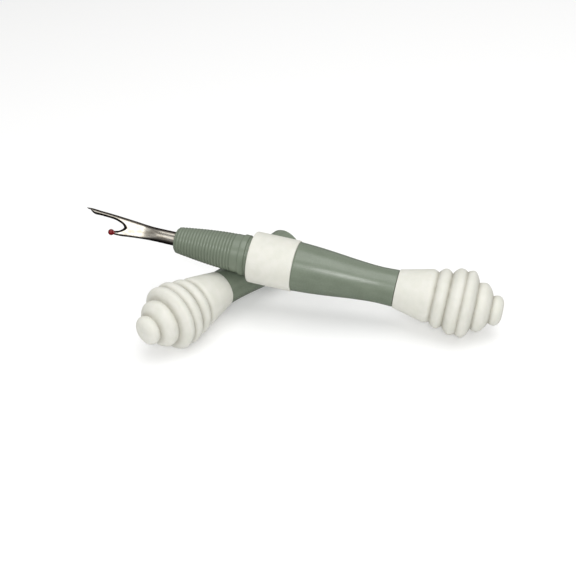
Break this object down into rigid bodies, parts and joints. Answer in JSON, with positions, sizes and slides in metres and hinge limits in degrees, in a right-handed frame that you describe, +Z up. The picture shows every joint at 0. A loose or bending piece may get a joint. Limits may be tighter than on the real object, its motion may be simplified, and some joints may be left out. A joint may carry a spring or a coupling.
{
  "type": "seam ripper",
  "caption": "Forked seam ripper with a red safety ball, a waisted handle with a fine-ribbed nose, and a hollow cap lying under it; handle and cap both end in ribbed rubber erasers.",
  "frame": {"origin": "middle of the underside of the bounding box, on the table that handle and cap lie on", "axes": "+Z up; the cap's axis lies in the YZ plane's direction with its mouth towards +Y; the handle lies across it, with its ribbed end towards +X and its blade towards -X"},
  "size_m": [0.1206, 0.078, 0.0315],
  "materials": {
    "grey_green_plastic": "satin moulded plastic, grey-green",
    "white_rubber": "matt thermoplastic rubber, warm white",
    "blade_steel": "polished, nickel-plated steel",
    "red_plastic": "glossy dipped plastic, dark red"
  },
  "bodies": {
    "handle": {"handle_eraser_tip": "white_rubber", "barrel": "grey_green_plastic", "collar_band": "white_rubber", "nose_plug": "grey_green_plastic", "seam_blade": "blade_steel", "safety_ball": "red_plastic"},
    "cap": {"cap_shell": "grey_green_plastic", "cap_eraser_tip": "white_rubber"}
  },
  "joints": [
    {"name": "cap_slide", "type": "slide", "parent": "handle", "child": "cap", "axis": [-0.8988, -0.4384, 0], "range_m": [0, 0.07]}
  ]
}
